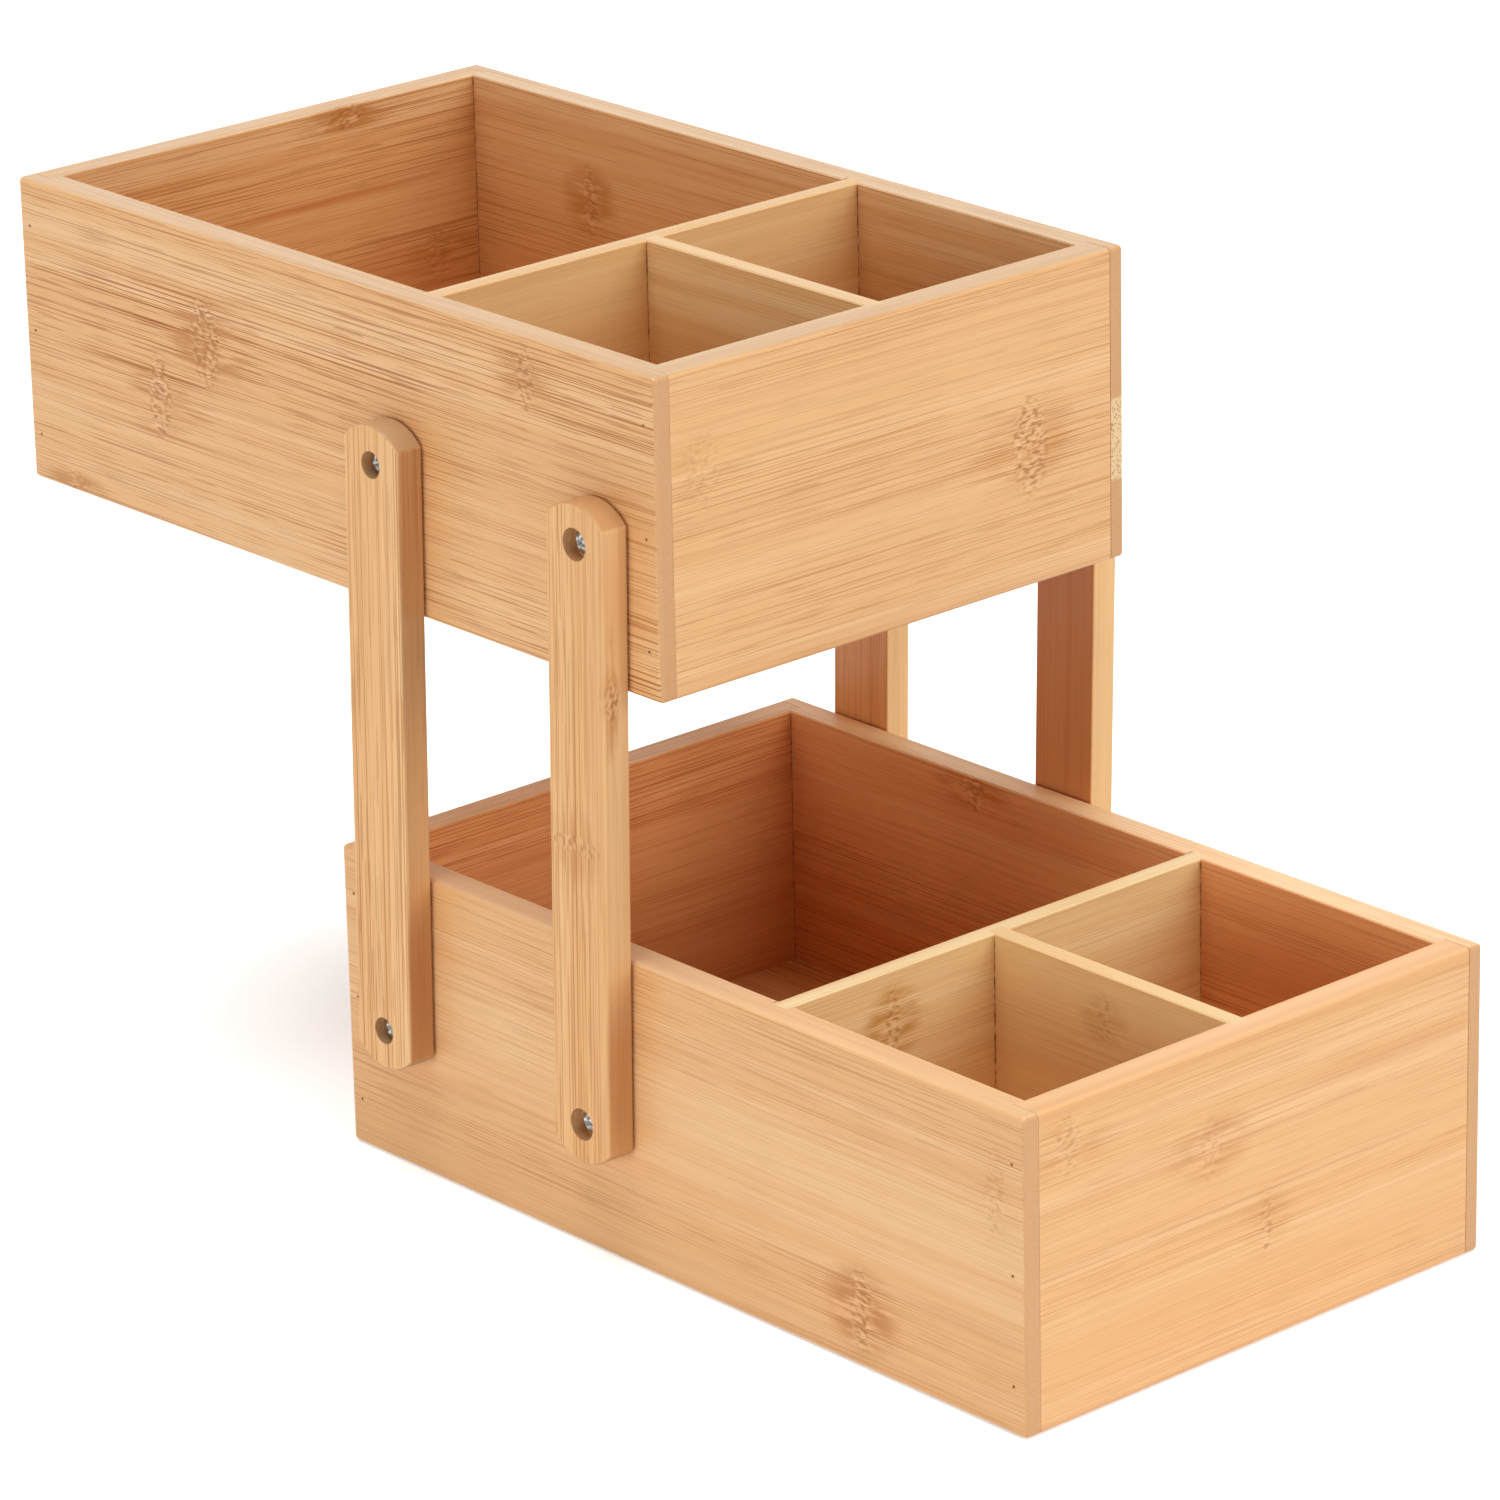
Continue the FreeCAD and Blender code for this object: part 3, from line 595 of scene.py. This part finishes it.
# Dark bands along the left arms' edges where they pass beside the lower and upper boxes: painted shade
LEFT_ARM_PAINTED_SHADE = ((-72, -14.5, 0, 50, 4.5, ALL_THROUGH, 1.0), (75, -14.5, 0, 48, 4.5, ALL_THROUGH, 0.4))
LEFT_FRONT_KNUCKLES = ((-2, 1, ARM_LEFT_FACE, 4, 14, 0.5, 0.7), (46, -12, 2, 9, 6, 0.7, 1.0))
RIGHT_FRONT_KNUCKLES = ((40, 0, ARM_RIGHT_FACE, 4, 14, 0.4, 0.5),)
RIGHT_REAR_KNUCKLES = ((-45, 2, ARM_RIGHT_FACE, 4, 14, 0.4, 0.5),)
LEFT_ARMS = {"stains_and_shade": LEFT_ARM_PAINTED_SHADE, "shade": ARM_TONE, "inside": RIGHTWARD,
             "painted_inside_shade": LEFT_ARM_INSIDE_SHADE}
RIGHT_ARMS = {"shade": ARM_TONE, "lines": 0.5, "rim_tone_and_sheen": RIGHT_ARM_EDGE, "inside": LEFTWARD}
bamboo_board("left_front_arm", GRAIN_UPWARD, (15.2, 0.2, 0.5), knuckles=LEFT_FRONT_KNUCKLES, lines=0.7,
             rim_tone_and_sheen=LEFT_FRONT_EDGE, painted_tip_shade=FRONT_TIP_SHADE, **LEFT_ARMS)
bamboo_board("left_rear_arm", GRAIN_UPWARD, (16.4, 0.6, 0.3), lines=0.9,
             rim_tone_and_sheen=LEFT_REAR_EDGE_AND_SHADE, painted_tip_shade=REAR_TIP_SHADE, **LEFT_ARMS)
bamboo_board("right_front_arm", GRAIN_UPWARD, (17.7, 1.0, 0.1), knuckles=RIGHT_FRONT_KNUCKLES,
             painted_inside_shade=RIGHT_FRONT_INSIDE_SHADE, painted_tip_shade=FRONT_TIP_SHADE, **RIGHT_ARMS)
bamboo_board("right_rear_arm", GRAIN_UPWARD, (18.3, 1.4, 0.2), knuckles=RIGHT_REAR_KNUCKLES,
             painted_inside_shade=RIGHT_REAR_INSIDE_SHADE, painted_tip_shade=REAR_TIP_SHADE, **RIGHT_ARMS)

# Washers: stamped zinc-plated rings, one on each pivot screw.
# They lie between an arm and the side of its box, and keep the two from rubbing.
ZINC = (0.700, 0.705, 0.700, 1.0)
ZINC_DULL = (0.420, 0.415, 0.400, 1.0)
PATCH_CYCLES = (420.0, 420.0, 420.0)
SCUFFS = {"cycles": (3000.0, 9000.0, 700.0), "span": (0.35, 0.7), "amounts": (0.20, 0.42), "detail": 2.0}
WORN_DULLNESS = 0.12
WASHER_WEAR = (0.45, 0.70)


def zinc_plate(name, wear):
    """Bright zinc plate with fine scuffs and duller patches."""
    material, tree, shader, seen = new_finish(name)
    worn = ramp(tree, stretched_noise(tree, seen["Object"], PATCH_CYCLES, detail=4.0, rough=0.6), *wear)
    scuffs = pattern(tree, seen["Object"], **SCUFFS)
    rough = maths(tree, "ADD", scuffs, product(tree, worn, WORN_DULLNESS))
    colour = tint(tree, worn, ZINC, ZINC_DULL)
    feed(tree, shader, {"Base Color": colour, "Roughness": rough, "Metallic": 1.0})
    return material


washer_finish = zinc_plate("zinc_washer_plate", WASHER_WEAR)
for tier in TIERS:
    dress(tier + "_pivot_washers", washer_finish)

# Pivot screws: zinc-plated pan heads with a cross recess, sunk in the arms' wells.
# Each goes through an arm and its washer into the side board, where its thread bites.
SCREW_SIZES = {"Head Diameter": 0.0075, "Head Height": 0.0022, "Head Rim": 0.0009,
               "Recess Span": 0.0044, "Recess Depth": 0.0015, "Slot Width": 0.0010,
               "Shank Diameter": 0.0040, "Shank Length": 0.0132, "Point Length": 0.0020,
               "Thread Pitch": 0.0014, "Thread Depth": 0.0004, "Plain Shank": 0.0056}
SCREW_WEAR = (0.34, 0.64)
SCREW_RINGS = 101
SCREW_SECTORS = 65
SCREW_WELD = 2e-6
FIRST_SCREW_SEED = 3
WASHER_RADIUS = 0.005

# Shares of the rings at which each stretch of the screw's profile ends, and the slots' slopes
TOP_END, RIM_END, SEAT_END, SHANK_END = 0.30, 0.34, 0.38, 0.94
RECESS_END = TOP_END - 0.01
SLOT_WALL_TOP, SLOT_WALL_FOOT = 1.25, 0.75
SLOT_FULL_DEPTH = 0.45


def step_between(tree, value, start, stop):
    """Straight ramp from 0 at start to 1 at stop."""
    return wire(tree, "ShaderNodeMapRange", {"Value": value, "From Min": start, "From Max": stop})


def slot_shape(tree, across, along, given):
    """One slot of the cross recess: full depth near the middle, shallow towards its ends."""
    half_width = product(tree, given["Slot Width"], 0.5)
    half_span = product(tree, given["Recess Span"], 0.5)
    wall_top = product(tree, half_width, SLOT_WALL_TOP)
    wall_foot = product(tree, half_width, SLOT_WALL_FOOT)
    wall = ramp(tree, maths(tree, "ABSOLUTE", across), wall_top, wall_foot)
    full_depth = product(tree, half_span, SLOT_FULL_DEPTH)
    slope = step_between(tree, maths(tree, "ABSOLUTE", along), half_span, full_depth)
    return product(tree, wall, slope)


def pan_head_screw():
    """Tree that turns points into screws: a profile of rings round an axis, with recess and thread."""
    inputs = {"Geometry": "Geometry", **dict.fromkeys(SCREW_SIZES, "Float"),
              "Seed": "Int", "Finish": "Material"}
    tree, given, result = node_group("pan_head_screw", "GeometryNodeTree", inputs, {"Geometry": "Geometry"})
    feeds = {"Size X": 1.0, "Size Y": 1.0, "Vertices X": SCREW_RINGS, "Vertices Y": SCREW_SECTORS}
    sheet = wire(tree, "GeometryNodeMeshGrid", feeds)
    spot = wire(tree, "GeometryNodeInputPosition", {})
    axes = wire(tree, "ShaderNodeSeparateXYZ", {"Vector": spot}).node.outputs
    ring = maths(tree, "ADD", axes["X"], 0.5)
    turn = maths(tree, "ADD", axes["Y"], 0.5)
    angle = product(tree, turn, 2 * math.pi)

    # Profile: out over the top, down the rim, in under the head, down the shank, to the point
    over_top = step_between(tree, ring, 0.0, TOP_END)
    down_rim = step_between(tree, ring, TOP_END, RIM_END)
    under_head = step_between(tree, ring, RIM_END, SEAT_END)
    down_shank = step_between(tree, ring, SEAT_END, SHANK_END)
    to_point = step_between(tree, ring, SHANK_END, 1.0)
    head_radius = product(tree, given["Head Diameter"], 0.5)
    shank_radius = product(tree, given["Shank Diameter"], 0.5)
    step_in = product(tree, maths(tree, "SUBTRACT", head_radius, shank_radius), under_head)
    radius = maths(tree, "SUBTRACT", product(tree, head_radius, over_top), step_in)
    radius = maths(tree, "SUBTRACT", radius, product(tree, shank_radius, to_point))
    straight = maths(tree, "SUBTRACT", given["Shank Length"], given["Point Length"])
    point_drop = product(tree, given["Point Length"], to_point)
    drop = maths(tree, "ADD", product(tree, straight, down_shank), point_drop)
    rim_left = maths(tree, "SUBTRACT", 1.0, down_rim)
    height = maths(tree, "SUBTRACT", product(tree, given["Head Rim"], rim_left), drop)
    crown = maths(tree, "SUBTRACT", 1.0, product(tree, over_top, over_top))
    dome = maths(tree, "SUBTRACT", given["Head Height"], given["Head Rim"])
    height = maths(tree, "ADD", height, product(tree, dome, crown))

    # Thread: a groove that winds round the shank, from its plain part to the point
    plain_end = maths(tree, "ADD", given["Plain Shank"], given["Thread Pitch"])
    threaded = step_between(tree, drop, given["Plain Shank"], plain_end)
    threaded = product(tree, threaded, maths(tree, "SUBTRACT", 1.0, to_point))
    wound = maths(tree, "ADD", maths(tree, "DIVIDE", drop, given["Thread Pitch"]), turn)
    groove = product(tree, maths(tree, "PINGPONG", wound, 0.5), 2.0)
    bite = product(tree, groove, given["Thread Depth"], threaded)
    radius = maths(tree, "SUBTRACT", radius, bite)

    # Cross recess, sunk in the top of the head
    side_x = product(tree, radius, maths(tree, "COSINE", angle))
    side_y = product(tree, radius, maths(tree, "SINE", angle))
    slots = slot_shape(tree, side_x, side_y, given), slot_shape(tree, side_y, side_x, given)
    cross = maths(tree, "MAXIMUM", *slots)
    on_top = maths(tree, "LESS_THAN", ring, RECESS_END)
    sunk = product(tree, cross, on_top, given["Recess Depth"])
    height = maths(tree, "SUBTRACT", height, sunk)
    shaped = wire(tree, "ShaderNodeCombineXYZ", {"X": side_x, "Y": side_y, "Z": height})
    sheet = wire(tree, "GeometryNodeSetPosition", {"Geometry": sheet, "Position": shaped})
    sheet = wire(tree, "GeometryNodeMergeByDistance", {"Geometry": sheet, "Distance": SCREW_WELD})
    sheet = wire(tree, "GeometryNodeSetShadeSmooth", {"Geometry": sheet, "Shade Smooth": True})

    # One screw on each point, its head turned away from the box and its cross at any angle
    outward = wire(tree, "ShaderNodeCombineXYZ", {"X": maths(tree, "SIGN", axes["X"])})
    heading = wire(tree, "FunctionNodeAlignRotationToVector", {"Vector": outward}, axis="Z")
    feeds = {"Min": 0.0, "Max": math.pi / 2, "Seed": given["Seed"]}
    spin = wire(tree, "FunctionNodeRandomValue", feeds, out="Value", data_type="FLOAT")
    spin = wire(tree, "FunctionNodeAxisAngleToRotation", {"Axis": (0.0, 0.0, 1.0), "Angle": spin})
    feeds = {"Rotation": heading, "Rotate By": spin}
    heading = wire(tree, "FunctionNodeRotateRotation", feeds, rotation_space="LOCAL")
    feeds = {"Points": given["Geometry"], "Instance": sheet, "Rotation": heading}
    end_tree(tree, result, wire(tree, "GeometryNodeInstanceOnPoints", feeds), given["Finish"])
    return tree


screw_tree = pan_head_screw()
screw_finish = zinc_plate("zinc_screw_plate", SCREW_WEAR)
for count, tier in enumerate(TIERS):
    low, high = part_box(tier + "_pivot_washers")
    front_pivot = (low.y + WASHER_RADIUS, low.z + WASHER_RADIUS)
    rear_pivot = (high.y - WASHER_RADIUS, high.z - WASHER_RADIUS)
    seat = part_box(tier + "_pivot_screws")[1].x - SCREW_SIZES["Head Height"]
    seats = bpy.data.meshes.new(tier + "_screw_seats")
    spots = [(side * seat, y, z) for side in (-1, 1) for y, z in (front_pivot, rear_pivot)]
    seats.from_pydata(spots, [], [])
    values = {**SCREW_SIZES, "Seed": FIRST_SCREW_SEED + count, "Finish": screw_finish}
    screws = grown_piece(tier + "_pan_head_screws", seats, screw_tree, values)
    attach(screws, tier + "_box")
    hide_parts(tier + "_pivot_screws")

# Floor, light and camera: a white sweep under a broad overhead softbox, with two weaker fills,
# one from the left and one from the front, both low. The camera stands where the photograph was taken.
FLOOR_RADIUS = 9.0
FLOOR_SIDES = 96
FLOOR_DROP = 0.0004
FLOOR_WHITE = (0.92, 0.92, 0.92, 1.0)
FLOOR_LIFT = 0.50
SKY_WHITE = (1.0, 1.0, 1.0, 1.0)
SKY_LEVEL = 0.09

# Each lamp's strength, the way that its light comes from, and how many degrees wide it looks
LAMPS = {"overhead_softbox": (2.55, (-0.05, -0.02, 1.0), 50), "left_fill": (1.04, (-1.0, -0.05, 0.14), 30),
         "front_fill": (1.36, (0.25, -1.0, 0.32), 30)}
LENS_MM = 176.034
SENSOR_MM = 36.0
CAMERA_REACH = 50.0
CAMERA_PLACE = Vector((-1.38262, -1.57301, 0.90039))
CAMERA_RIGHT = Vector((0.74405455, -0.66778888, -0.02099615))
CAMERA_UP = Vector((0.24695384, 0.24568555, 0.93736461))
CAMERA_BACK = Vector((-0.62080322, -0.70263548, 0.34771648))


def seen_directly(tree):
    """1 for rays from the camera and for mirror and glass rays, 0 for the rays that light the object."""
    path = tree.nodes.new("ShaderNodeLightPath").outputs
    direct = maths(tree, "MAXIMUM", path["Is Camera Ray"], path["Is Glossy Ray"])
    return maths(tree, "MAXIMUM", direct, path["Is Transmission Ray"])


turns = [2 * math.pi * k / FLOOR_SIDES for k in range(FLOOR_SIDES)]
floor_edge = [(FLOOR_RADIUS * math.cos(a), FLOOR_RADIUS * math.sin(a), -FLOOR_DROP) for a in turns]
floor_mesh = bpy.data.meshes.new("white_sweep")
floor_mesh.from_pydata(floor_edge, [], [list(range(FLOOR_SIDES))])
floor = bpy.data.objects.new("white_sweep", floor_mesh)
bpy.context.scene.collection.objects.link(floor)
floor_finish = bpy.data.materials.new("white_sweep_paper")
floor_finish.use_nodes = True
paper_tree = floor_finish.node_tree
paper_tree.nodes.remove(paper_tree.nodes["Principled BSDF"])
paper = wire(paper_tree, "ShaderNodeBsdfDiffuse", {"Color": FLOOR_WHITE})
lift = product(paper_tree, seen_directly(paper_tree), FLOOR_LIFT)
glow = wire(paper_tree, "ShaderNodeEmission", {"Strength": lift})
lifted_paper = wire(paper_tree, "ShaderNodeAddShader", {0: paper, 1: glow})
feed(paper_tree, paper_tree.nodes["Material Output"], {"Surface": lifted_paper})
floor_mesh.materials.append(floor_finish)
floor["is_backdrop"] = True

world = bpy.data.worlds.new("even_sky")
bpy.context.scene.world = world
world.use_nodes = True
sky_tree = world.node_tree
level = ramp(sky_tree, seen_directly(sky_tree), 0.0, 1.0, SKY_LEVEL, 1.0)
feed(sky_tree, sky_tree.nodes["Background"], {"Color": SKY_WHITE, "Strength": level})

# The fills only lift the shade, so the metal doesn't mirror them
for name, (strength, comes_from, width) in LAMPS.items():
    lamp_data = bpy.data.lights.new(name, "SUN")
    lamp_data.energy = strength
    lamp_data.angle = math.radians(width)
    lamp = bpy.data.objects.new(name, lamp_data)
    lamp.rotation_euler = Vector(comes_from).to_track_quat("Z", "Y").to_euler()
    lamp.visible_glossy = not name.endswith("fill")
    bpy.context.scene.collection.objects.link(lamp)

camera_data = bpy.data.cameras.new("photo_camera")
camera_data.lens = LENS_MM
camera_data.sensor_width = SENSOR_MM
camera_data.clip_end = CAMERA_REACH
camera = bpy.data.objects.new("photo_camera", camera_data)
turned = Matrix((CAMERA_RIGHT, CAMERA_UP, CAMERA_BACK)).transposed().to_4x4()
camera.matrix_world = Matrix.Translation(CAMERA_PLACE) @ turned
bpy.context.scene.collection.objects.link(camera)
bpy.context.scene.camera = camera

# Bounds of the dressed organizer, the floor left out.
low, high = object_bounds()
